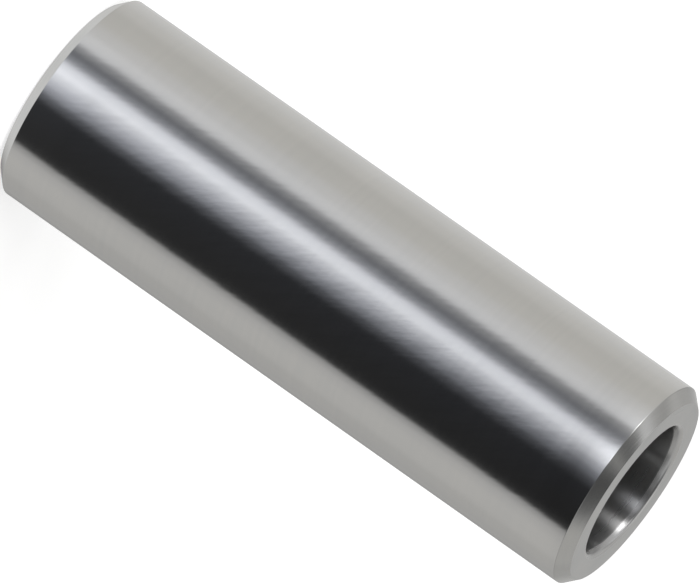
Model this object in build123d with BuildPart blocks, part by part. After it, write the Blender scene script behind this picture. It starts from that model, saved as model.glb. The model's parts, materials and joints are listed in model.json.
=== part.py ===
"""Hollow piston pin, the shaft that joins an engine's piston to its connecting rod.

The pin is one length of case-hardened steel tube: bored through, faced and chamfered at both ends, and
ground to size on the outside. It stands on one end face with its axis on +Z, and the origin is the middle
of that face. All sizes are in millimetres.
"""

import os

from build123d import *

# Driving dimensions
outside_diameter = 22.0  # ground surface, which runs in the piston and in the connecting rod
bore_diameter = 14.0  # plain through bore, there to save weight
pin_length = 67.0  # from end face to end face
lead_chamfer = 1.1  # 45 degree chamfer round each end, which guides the pin in
mouth_depth = 0.75  # flare at each end of the bore, along the axis
mouth_width = 0.35  # the same flare, outwards from the bore's wall
corner_radius = 0.2  # tumbled corner on each side of a lead chamfer

wall_thickness = (outside_diameter - bore_diameter) / 2

with BuildPart() as piston_pin:
    # The wall in section, cut through the axis: X runs outwards from the axis and Y along it
    with BuildSketch(Plane.XZ) as wall:
        with Locations((bore_diameter / 2, 0)):
            Rectangle(wall_thickness, pin_length, align=Align.MIN)

        # Flared mouths of the bore, at the two inner corners
        chamfer(
            wall.vertices().group_by(Axis.X)[0],
            length=mouth_depth,
            length2=mouth_width,
            reference=wall.edges().sort_by(Axis.X)[0],
        )

        # Lead chamfers, at the two outer corners
        chamfer(wall.vertices().group_by(Axis.X)[-1], length=lead_chamfer)

        # Tumbled corners, where a chamfer meets the end face and where it meets the ground surface
        *_, face_corners, ground_corners = wall.vertices().group_by(Axis.X)
        fillet(face_corners + ground_corners, radius=corner_radius)

    revolve(axis=Axis.Z)

piston_pin.part.label = "piston_pin"

os.makedirs("parts", exist_ok=True)
export_step(piston_pin.part, "parts/piston_pin.step")
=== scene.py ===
"""A hollow steel piston pin on a pale studio floor: its surfaces, the light round it and the camera."""

import json
import math

import bpy
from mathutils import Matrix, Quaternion, Vector


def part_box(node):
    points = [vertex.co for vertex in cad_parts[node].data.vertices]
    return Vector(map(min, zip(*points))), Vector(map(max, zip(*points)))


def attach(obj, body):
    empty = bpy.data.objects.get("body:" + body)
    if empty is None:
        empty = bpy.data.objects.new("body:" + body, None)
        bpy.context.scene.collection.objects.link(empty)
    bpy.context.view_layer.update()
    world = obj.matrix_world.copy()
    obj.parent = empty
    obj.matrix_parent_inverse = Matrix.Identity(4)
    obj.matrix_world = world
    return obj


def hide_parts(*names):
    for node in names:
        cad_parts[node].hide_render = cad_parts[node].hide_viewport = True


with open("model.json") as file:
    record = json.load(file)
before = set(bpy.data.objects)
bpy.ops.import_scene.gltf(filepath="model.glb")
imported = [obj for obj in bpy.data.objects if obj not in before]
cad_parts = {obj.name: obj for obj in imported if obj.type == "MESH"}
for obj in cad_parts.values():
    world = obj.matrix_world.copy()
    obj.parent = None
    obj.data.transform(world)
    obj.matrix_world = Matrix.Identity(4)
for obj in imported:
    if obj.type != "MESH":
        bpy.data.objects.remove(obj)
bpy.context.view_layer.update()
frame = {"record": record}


# ---------------------------------------------------------------- the piston pin
# One length of case-hardened steel tube. It is bored through, faced and chamfered on a lathe, hardened,
# and then ground between wheels, which gives the outside its mirror and leaves the other surfaces duller.


class Wire:
    """One output of a node. Arithmetic on wires and numbers adds the Math nodes for it."""

    def __init__(self, tree, socket):
        self.tree = tree
        self.socket = socket

    def math(self, operation, *others):
        """This value, and others after it, through a Math node."""
        return self.tree.node("ShaderNodeMath", {"operation": operation}, dict(enumerate((self, *others))))

    def __add__(self, other):
        return self.math("ADD", other)

    def __sub__(self, other):
        return self.math("SUBTRACT", other)

    def __rsub__(self, other):
        return self.math("MULTIPLY_ADD", -1.0, other)

    def __mul__(self, other):
        return self.math("MULTIPLY", other)

    def __truediv__(self, other):
        return self.math("DIVIDE", other)

    def __rtruediv__(self, other):
        return self.math("POWER", -1.0) * other

    def __gt__(self, other):
        return self.math("GREATER_THAN", other)

    def __lt__(self, other):
        return self.math("LESS_THAN", other)

    def __abs__(self):
        return self.math("ABSOLUTE")

    __radd__ = __add__
    __rmul__ = __mul__


class Tree:
    """A node tree that is being wired up."""

    def __init__(self, tree):
        self.tree = tree

    def node(self, kind, settings=None, sockets=None, output=0):
        """Adds a node, sets it up and fills its sockets with values or wires.

        It returns the output that is named, or a list of them where output is a list.
        """
        made = self.tree.nodes.new(kind)
        for name, value in (settings or {}).items():
            if name == "stops":
                self.set_stops(made.color_ramp, value)
            elif name == "items":
                for _ in range(value - 2):
                    made.index_switch_items.new()
            else:
                setattr(made, name, value)
        for name, value in (sockets or {}).items():
            if isinstance(value, Wire):
                self.tree.links.new(value.socket, made.inputs[name])
            else:
                made.inputs[name].default_value = value
        if not made.outputs:
            return None
        if isinstance(output, list):
            return [Wire(self, made.outputs[name]) for name in output]
        return Wire(self, made.outputs[output])

    @staticmethod
    def set_stops(ramp, stops):
        """Gives a colour ramp its stops, each a place along it and a colour."""
        ramp.interpolation = "EASE"
        while len(ramp.elements) < len(stops):
            ramp.elements.new(1.0)
        for element, (place, colour) in zip(ramp.elements, stops):
            element.position = place
            element.color = (*colour, 1.0)


def new_material(name):
    """An empty material, and its tree."""
    material = bpy.data.materials.new(name)
    material.use_nodes = True
    material.node_tree.nodes.clear()
    return material, Tree(material.node_tree)


def stretched_noise(tree, place, scales):
    """Noise with its own scale, per metre, along each axis."""
    stretched = tree.node("ShaderNodeVectorMath", {"operation": "MULTIPLY"}, {0: place, 1: scales})
    return tree.node("ShaderNodeTexNoise", None, {"Vector": stretched, "Scale": 1.0, "Detail": 3.0})


def tinted(colour, change):
    """A colour made lighter or darker by a share, most of it in the red, with its alpha."""
    return (*(part * (1 + change * share) for part, share in zip(colour, TINT_SHARES)), 1.0)


pin_low, pin_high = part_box("piston_pin")
TINT_SHARES = (1.5, 1.25, 1.0)
BLOTCH_SCALES = (180.0, 180.0, 180.0)
LAY_SCALES = (700.0, 700.0, 200.0)
LAY_TWIST = 50.0  # radians a metre
QUARTER_TURN = 0.25


def steel(name, colour, roughness, spread, along_axis, rings, faced=False, lay=0.0, crown=None):
    """Bare machined steel.

    Its roughness and tone vary by spread, and along_axis says how much further it blurs along the axis than
    round it. rings are the marks of the tool, as (scale around, scale across, depth), which follow each
    other along the axis, or on a faced end outwards from it. lay is the depth of the slanting marks of a
    grinding wheel. crown is how the surface falls away at the pin's ends, as (fall, length over which it
    falls). Scales are per metre, and the other sizes are in metres.
    """
    material, tree = new_material(name)
    place = tree.node("ShaderNodeTexCoord", output="Object")
    x, y, height = tree.node("ShaderNodeSeparateXYZ", None, {"Vector": place}, output=["X", "Y", "Z"])
    around, across, depth = rings
    feed = (x * x + y * y).math("SQRT") if faced else height
    cut = tree.node("ShaderNodeCombineXYZ", None, {"X": x, "Y": y, "Z": feed})
    ring = stretched_noise(tree, cut, (around, around, across))
    relief = ring * depth
    if lay:
        turned = tree.node(
            "ShaderNodeVectorRotate",
            {"rotation_type": "Z_AXIS"},
            {"Vector": place, "Angle": height * LAY_TWIST},
        )
        relief = relief + stretched_noise(tree, turned, LAY_SCALES) * lay
    if crown:
        fall, reach = crown
        past = (abs(height - pin_high.z / 2) - (pin_high.z / 2 - reach)) / reach
        past = past.math("MAXIMUM", 0.0)
        relief = relief - past * past * fall
    patchiness = ring * 0.5 + stretched_noise(tree, place, BLOTCH_SCALES) * 0.5
    shades = {"Factor": patchiness, 6: tinted(colour, -spread), 7: tinted(colour, spread)}
    surface = tree.node(
        "ShaderNodeBsdfPrincipled",
        None,
        {
            "Base Color": tree.node("ShaderNodeMix", {"data_type": "RGBA"}, shades, output=2),
            "Metallic": 1.0,
            "Roughness": roughness + (ring - 0.5) * spread,
            "Anisotropic": along_axis,
            "Anisotropic Rotation": QUARTER_TURN,
            "Normal": tree.node("ShaderNodeBump", None, {"Height": relief, "Distance": 1.0}),
        },
    )
    tree.node("ShaderNodeOutputMaterial", None, {"Surface": surface})
    return material


ground_finish = steel(
    "ground_finish",
    colour=(0.62, 0.62, 0.62),
    roughness=0.13,
    spread=0.04,
    along_axis=0.0,
    rings=(30.0, 2200.0, 3e-7),
    lay=8e-6,
    crown=(1.5e-4, 0.0055),
)
chamfer_finish = steel(
    "chamfer_finish",
    colour=(0.60, 0.60, 0.59),
    roughness=0.17,
    spread=0.06,
    along_axis=0.3,
    rings=(300.0, 6000.0, 3e-6),
)
end_face_finish = steel(
    "end_face_finish",
    colour=(0.60, 0.60, 0.59),
    roughness=0.30,
    spread=0.10,
    along_axis=0.0,
    rings=(70.0, 3500.0, 2e-6),
    faced=True,
)
mouth_finish = steel(
    "mouth_finish",
    colour=(0.60, 0.60, 0.60),
    roughness=0.20,
    spread=0.06,
    along_axis=0.4,
    rings=(200.0, 5000.0, 2e-6),
)
bore_finish = steel(
    "bore_finish",
    colour=(0.40, 0.40, 0.40),
    roughness=0.28,
    spread=0.06,
    along_axis=0.9,
    rings=(120.0, 3000.0, 1e-6),
    crown=(2.4e-4, 0.003),
)

# The sizes that the frame holds, and the small ones that finish the section
mount_sizes = {mount["name"]: mount["dims"] for mount in frame["record"]["mounts"]}
section_sizes = {
    "Outside Radius": pin_high.x,
    "Bore Radius": mount_sizes["bore"]["r_mm"] / 1000,
    "Length": pin_high.z - pin_low.z,
    "Lead Chamfer": 0.0011,
    "Mouth Depth": 0.00075,
    "Mouth Width": 0.0003,
    "Corner Radius": 0.0001,
    "Lip Radius": 0.0006,
    "Throat Radius": 0.0004,
}
CORNERS = 8
FACETS_ROUND = 512
FACETS_CORNER = 10


def lathe_tree():
    """Geometry Nodes that turn the pin's wall: a section with rounded corners, carried round the bore."""
    group = bpy.data.node_groups.new("turned_pin", "GeometryNodeTree")
    group.interface.new_socket("Geometry", in_out="OUTPUT", socket_type="NodeSocketGeometry")
    for name in section_sizes:
        group.interface.new_socket(name, in_out="INPUT", socket_type="NodeSocketFloat")
    tree = Tree(group)
    names = list(section_sizes)
    size = dict(zip(names, tree.node("NodeGroupInput", output=names)))

    # The section's eight corners run up the bore's side and back down the outside, so that the upper
    # four mirror the lower four
    index = tree.node("GeometryNodeInputIndex")
    last = CORNERS - 1
    upper = index > last / 2
    corner = index + upper * (last - 2 * index)

    def by_corner(bore, mouth, face, outside):
        values = {"Index": corner, 1: bore, 2: mouth, 3: face, 4: outside}
        settings = {"data_type": "FLOAT", "items": CORNERS // 2}
        return tree.node("GeometryNodeIndexSwitch", settings, values)

    outwards = by_corner(
        0.0,
        size["Mouth Width"],
        size["Outside Radius"] - size["Lead Chamfer"] - size["Bore Radius"],
        size["Outside Radius"] - size["Bore Radius"],
    )
    inset = by_corner(size["Mouth Depth"], 0.0, 0.0, size["Lead Chamfer"])
    upwards = inset + upper * (size["Length"] - 2 * inset)
    # A ring carries its section upside down, so the section hangs below the ring to end up above it
    place = tree.node("ShaderNodeCombineXYZ", None, {"X": outwards, "Y": upwards - size["Length"]})
    points = tree.node("GeometryNodePoints", None, {"Count": CORNERS, "Position": place})
    section = tree.node("GeometryNodePointsToCurves", None, {"Points": points})
    section = tree.node("GeometryNodeCurveSplineType", {"spline_type": "POLY"}, {"Curve": section})
    section = tree.node("GeometryNodeSetSplineCyclic", None, {"Geometry": section, "Cyclic": True})
    rounding = by_corner(
        size["Throat Radius"], size["Lip Radius"], size["Corner Radius"], size["Corner Radius"]
    )
    section = tree.node(
        "GeometryNodeFilletCurve",
        {"mode": "POLY"},
        {"Curve": section, "Count": FACETS_CORNER, "Radius": rounding},
    )
    ring = tree.node(
        "GeometryNodeCurvePrimitiveCircle",
        None,
        {"Resolution": FACETS_ROUND, "Radius": size["Bore Radius"]},
    )
    wall = tree.node("GeometryNodeCurveToMesh", None, {"Curve": ring, "Profile Curve": section})
    wall = tree.node("GeometryNodeSetShadeSmooth", None, {"Geometry": wall, "Shade Smooth": True})

    # Each surface's own finish, told apart by where it lies
    place = tree.node("GeometryNodeInputPosition")
    x, y, z = tree.node("ShaderNodeSeparateXYZ", None, {"Vector": place}, output=["X", "Y", "Z"])
    from_axis = (x * x + y * y).math("SQRT")
    from_middle = abs(z - size["Length"] / 2)
    half_length = size["Length"] / 2
    sliver = size["Corner Radius"] / 4
    finishes = (
        (ground_finish, True),
        (chamfer_finish, from_middle > half_length - size["Lead Chamfer"]),
        (mouth_finish, from_axis < size["Bore Radius"] + size["Mouth Width"]),
        (end_face_finish, from_middle > half_length - sliver),
        (bore_finish, from_axis < size["Bore Radius"] + sliver),
    )
    wall = tree.node("GeometryNodeRealizeInstances", None, {"Geometry": wall})
    for finish, where in finishes:
        sockets = {"Geometry": wall, "Selection": where, "Material": finish}
        wall = tree.node("GeometryNodeSetMaterial", None, sockets)
    tree.node("NodeGroupOutput", None, {"Geometry": wall})
    return group


def plain_mesh(name, group, sizes):
    """Runs a Geometry Nodes group with these sizes and returns its result as an ordinary mesh object."""
    maker = bpy.data.objects.new(name, bpy.data.meshes.new(name))
    bpy.context.scene.collection.objects.link(maker)
    modifier = maker.modifiers.new("shape", "NODES")
    modifier.node_group = group
    for item in group.interface.items_tree:
        if item.in_out == "INPUT":
            modifier[item.identifier] = sizes[item.name]
    evaluated = maker.evaluated_get(bpy.context.evaluated_depsgraph_get())
    mesh = bpy.data.meshes.new_from_object(evaluated)
    maker.modifiers.remove(modifier)
    maker.data = mesh
    return maker


turned_pin = plain_mesh("turned_pin", lathe_tree(), section_sizes)
# The broad surfaces keep their own normals, and only the rounded corners turn from one to the next
BROAD_SHARE = 90
turned_pin.modifiers.new("broad_normals", "WEIGHTED_NORMAL").weight = BROAD_SHARE
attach(turned_pin, "root")
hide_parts("piston_pin")


# ---------------------------------------------------------------- the floor
# A pale seamless studio table. The camera sees it as white paper, darker only where the pin keeps the
# light off it, and the polished steel looks past it into the studio.

WHITE = (1.0, 1.0, 1.0, 1.0)
FLOOR_SIZE = 12.0
FLOOR_COLOUR = (0.8, 0.8, 0.8, 1.0)
FLOOR_GLOW = 0.59
floor_mesh = bpy.data.meshes.new("studio_floor")
half = FLOOR_SIZE / 2
floor_mesh.from_pydata(
    [(-half, -half, 0.0), (half, -half, 0.0), (half, half, 0.0), (-half, half, 0.0)], [], [(0, 1, 2, 3)]
)
studio_floor = bpy.data.objects.new("studio_floor", floor_mesh)
bpy.context.scene.collection.objects.link(studio_floor)
paper, paper_tree = new_material("white_paper")
seen = paper_tree.node("ShaderNodeLightPath", output="Is Camera Ray")
lit = paper_tree.node("ShaderNodeBsdfDiffuse", None, {"Color": FLOOR_COLOUR})
glow = paper_tree.node("ShaderNodeEmission", None, {"Color": WHITE, "Strength": seen * FLOOR_GLOW})
both = paper_tree.node("ShaderNodeAddShader", None, {0: lit, 1: glow})
paper_tree.node("ShaderNodeOutputMaterial", None, {"Surface": both})
floor_mesh.materials.append(paper)
studio_floor.visible_glossy = False


# ---------------------------------------------------------------- the studio
# Pale walls all round, which polished steel mirrors as bands: a window beside the camera with a dark gap
# next to it, a soft box further round, and a broad dark screen on the other side. The ceiling is dark.


def studio_wall(stops):
    """A wall's colour all round, from its brightness and warmth at some bearings.

    A bearing is in degrees from the camera's, plus to its right.
    """
    colours = [
        (bearing / 360 + 0.5, (level * (1 + warmth / 3), level, level * (1 - warmth)))
        for bearing, level, warmth in stops
    ]
    return studio.node("ShaderNodeValToRGB", {"stops": colours}, {"Fac": turn})


def blend(factor, first, second):
    """One colour turning into another."""
    sockets = {"Factor": factor, 6: first, 7: second}
    return studio.node("ShaderNodeMix", {"data_type": "RGBA"}, sockets, output=2)


def rise(lowest, highest):
    """From 0 to 1 between two elevations, in degrees."""
    sockets = {"Value": elevation, "From Min": lowest, "From Max": highest}
    return studio.node("ShaderNodeMapRange", {"interpolation_type": "SMOOTHSTEP"}, sockets)


world = bpy.data.worlds.new("studio")
bpy.context.scene.world = world
world.use_nodes = True
world.node_tree.nodes.clear()
studio = Tree(world.node_tree)
direction = studio.node("ShaderNodeTexCoord", output="Generated")
x, y, z = studio.node("ShaderNodeSeparateXYZ", None, {"Vector": direction}, output=["X", "Y", "Z"])
turn = x.math("ARCTAN2", 0 - y) / (2 * math.pi) + 0.5
elevation = z.math("ARCSINE") * (180 / math.pi)

# The table, straight down, and over it the walls at seven heights. Each one takes over from the one below
# it between two elevations, and is listed as (bearing, brightness, warmth).
TABLE_LIGHT = (0.85, 0.85, 0.85, 1.0)
light = TABLE_LIGHT
for lowest, highest, stops in (
    # Low down, where the table's edge is near
    (-55, -24, (
        (-180, 0.54, 0.01),
        (-166, 0.70, 0.02),
        (-140, 0.73, 0.03),
        (-121, 0.70, 0.05),
        (-104, 0.64, 0.06),
        (-88, 0.66, 0.06),
        (-69, 0.74, 0.02),
        (-58, 0.86, 0.0),
        (-51, 0.84, -0.01),
        (-43, 0.37, -0.03),
        (-36, 0.20, -0.08),
        (-30, 0.34, -0.08),
        (-20, 1.12, -0.06),
        (-13, 1.32, -0.05),
        (-6, 1.02, -0.06),
        (1, 0.74, -0.08),
        (9, 0.44, -0.10),
        (16, 0.15, -0.10),
        (24, 0.040, -0.10),
        (60, 0.036, -0.02),
        (71, 0.042, 0.0),
        (76, 0.45, 0.02),
        (84, 0.59, 0.03),
        (95, 0.62, 0.04),
        (110, 0.60, 0.04),
        (127, 0.53, 0.04),
        (150, 0.475, 0.03),
        (170, 0.34, 0.02),
        (180, 0.54, 0.01),
    )),
    # Level with the table's edge: the window is dimmer
    (-15.4, -12.6, (
        (-180, 0.54, 0.01),
        (-166, 0.70, 0.02),
        (-140, 0.73, 0.03),
        (-121, 0.70, 0.05),
        (-104, 0.64, 0.06),
        (-88, 0.66, 0.06),
        (-69, 0.73, 0.02),
        (-60, 0.76, 0.0),
        (-54, 0.74, -0.01),
        (-45, 0.26, -0.03),
        (-36, 0.18, -0.08),
        (-30, 0.31, -0.08),
        (-20, 0.90, -0.06),
        (-14, 0.82, -0.05),
        (-7, 0.49, -0.06),
        (1, 0.24, -0.08),
        (8, 0.10, -0.10),
        (17, 0.035, -0.10),
        (24, 0.021, -0.10),
        (62, 0.021, -0.02),
        (71, 0.032, 0.0),
        (76, 0.45, 0.02),
        (84, 0.58, 0.03),
        (95, 0.62, 0.04),
        (110, 0.61, 0.04),
        (127, 0.54, 0.04),
        (150, 0.475, 0.03),
        (170, 0.36, 0.02),
        (180, 0.54, 0.01),
    )),
    # Over the table: the full brightness of the window
    (-12.6, -1, (
        (-180, 0.54, 0.01),
        (-140, 0.68, 0.03),
        (-104, 0.60, 0.05),
        (-88, 0.66, 0.04),
        (-75, 0.90, 0.02),
        (-60, 1.35, 0.0),
        (-53, 1.30, 0.0),
        (-46, 0.74, 0.0),
        (-39, 0.45, -0.05),
        (-34, 0.50, -0.05),
        (-29, 0.95, -0.05),
        (-23, 1.70, -0.05),
        (-16, 2.30, -0.05),
        (-8, 2.10, -0.05),
        (1, 1.05, -0.08),
        (9, 0.50, -0.10),
        (16, 0.18, -0.10),
        (24, 0.045, -0.05),
        (60, 0.03, 0.0),
        (72, 0.06, 0.0),
        (78, 0.40, 0.03),
        (110, 0.50, 0.04),
        (150, 0.50, 0.03),
        (180, 0.54, 0.01),
    )),
    # The top of the window, which is narrower there
    (-6, 1, (
        (-180, 0.54, 0.01),
        (-160, 0.50, 0.01),
        (-145, 0.28, 0.02),
        (-105, 0.28, 0.02),
        (-84, 0.50, 0.02),
        (-75, 0.90, 0.0),
        (-66, 1.80, 0.0),
        (-53, 1.80, 0.0),
        (-47, 0.60, 0.0),
        (-41, 0.18, 0.0),
        (-32, 0.35, -0.04),
        (-25, 1.00, -0.04),
        (-18, 3.50, -0.05),
        (-11, 3.60, -0.05),
        (-4, 0.40, -0.05),
        (2, 0.07, -0.04),
        (8, 0.03, 0.0),
        (62, 0.025, 0.0),
        (74, 0.10, 0.0),
        (84, 0.30, 0.02),
        (145, 0.30, 0.02),
        (160, 0.50, 0.02),
        (180, 0.54, 0.01),
    )),
    # The soft box, and above the window
    (6, 16, (
        (-180, 0.54, 0.01),
        (-145, 0.50, 0.02),
        (-100, 0.54, 0.02),
        (-78, 0.58, 0.0),
        (-70, 1.20, 0.0),
        (-63, 4.80, 0.0),
        (-54, 4.80, 0.0),
        (-48, 0.90, 0.0),
        (-42, 0.18, 0.0),
        (-32, 0.30, -0.03),
        (-24, 0.70, -0.03),
        (-16, 1.00, -0.03),
        (-9, 0.75, -0.03),
        (-3, 0.12, -0.02),
        (3, 0.04, 0.0),
        (8, 0.03, 0.0),
        (60, 0.02, 0.0),
        (78, 0.12, 0.0),
        (92, 0.44, 0.03),
        (145, 0.48, 0.03),
        (180, 0.54, 0.01),
    )),
    # Higher up the walls, which only the flared mouth and the lead chamfer look at
    (20, 30, (
        (-180, 0.54, 0.01),
        (-133, 0.57, 0.02),
        (-120, 0.42, 0.02),
        (-110, 0.48, 0.02),
        (-100, 0.70, 0.0),
        (-84, 0.58, 0.0),
        (-76, 0.62, 0.0),
        (-68, 0.80, 0.0),
        (-56, 1.40, 0.0),
        (-47, 0.30, 0.0),
        (-40, 0.12, 0.0),
        (-30, 0.20, -0.03),
        (-20, 0.44, -0.03),
        (-11, 0.33, -0.03),
        (-2, 0.17, -0.02),
        (6, 0.11, -0.02),
        (13, 0.13, 0.0),
        (23, 0.24, 0.0),
        (36, 0.24, 0.0),
        (44, 0.32, 0.0),
        (50, 0.50, 0.0),
        (110, 0.52, 0.03),
        (150, 0.54, 0.03),
        (180, 0.54, 0.01),
    )),
    # The ceiling, which is dark over the camera
    (48, 64, (
        (-180, 0.80, 0.0),
        (-150, 0.72, 0.0),
        (-130, 0.56, 0.0),
        (-110, 0.60, 0.0),
        (-96, 0.82, 0.0),
        (-91, 0.74, 0.0),
        (-84, 0.17, 0.0),
        (-63, 0.14, 0.0),
        (-35, 0.33, 0.02),
        (-17, 0.21, 0.0),
        (3, 0.13, 0.0),
        (23, 0.09, 0.0),
        (55, 0.10, 0.0),
        (77, 0.14, 0.0),
        (95, 0.25, 0.0),
        (120, 0.45, 0.0),
        (150, 0.68, 0.0),
        (180, 0.80, 0.0),
    )),
):
    light = blend(rise(lowest, highest), light, studio_wall(stops))
seen = studio.node("ShaderNodeLightPath", output="Is Camera Ray")
light = blend(seen, light, WHITE)
sky = studio.node("ShaderNodeBackground", None, {"Color": light, "Strength": 1.0})
studio.node("ShaderNodeOutputWorld", None, {"Surface": sky})

# A large soft lamp over the camera, which throws the pin's shadow behind it
LAMP_SIZE = 0.6
LAMP_POWER = 5.0
LAMP_PLACE = (-0.3, -0.7, 0.9)
lamp_data = bpy.data.lights.new("soft_lamp", "AREA")
lamp_data.shape = "DISK"
lamp_data.size = LAMP_SIZE
lamp_data.energy = LAMP_POWER
soft_lamp = bpy.data.objects.new("soft_lamp", lamp_data)
bpy.context.scene.collection.objects.link(soft_lamp)
soft_lamp.location = LAMP_PLACE
soft_lamp.rotation_mode = "QUATERNION"
soft_lamp.rotation_quaternion = (-soft_lamp.location).to_track_quat("-Z", "Y")
soft_lamp.visible_glossy = False


# ---------------------------------------------------------------- the camera
# A long lens a metre and a half away, 14 degrees above the pin's middle and rolled over, so that the pin
# runs down the picture to the right with its upper end towards the viewer.

CAMERA_HEIGHT = math.radians(14.0)
CAMERA_ROLL = math.radians(125.1)
CAMERA_DISTANCE = 1.487
CAMERA_OFFSET = (0.00015, -0.00022)
CAMERA_LENS = 818.8  # millimetres
CAMERA_SENSOR = 36.0  # millimetres
CAMERA_CLIP = (0.1, 20.0)
middle = (pin_low + pin_high) / 2
towards_camera = Vector((0.0, -math.cos(CAMERA_HEIGHT), math.sin(CAMERA_HEIGHT)))
camera_data = bpy.data.cameras.new("camera")
camera_data.sensor_width = CAMERA_SENSOR
camera_data.lens = CAMERA_LENS
camera_data.clip_start, camera_data.clip_end = CAMERA_CLIP
camera = bpy.data.objects.new("camera", camera_data)
bpy.context.scene.collection.objects.link(camera)
camera.rotation_mode = "QUATERNION"
upright = (-towards_camera).to_track_quat("-Z", "Y")
camera.rotation_quaternion = upright @ Quaternion((0.0, 0.0, 1.0), CAMERA_ROLL)
aside = camera.rotation_quaternion @ Vector((*CAMERA_OFFSET, 0.0))
camera.location = middle + towards_camera * CAMERA_DISTANCE + aside
bpy.context.scene.camera = camera

bpy.context.scene.view_settings.view_transform = "Standard"
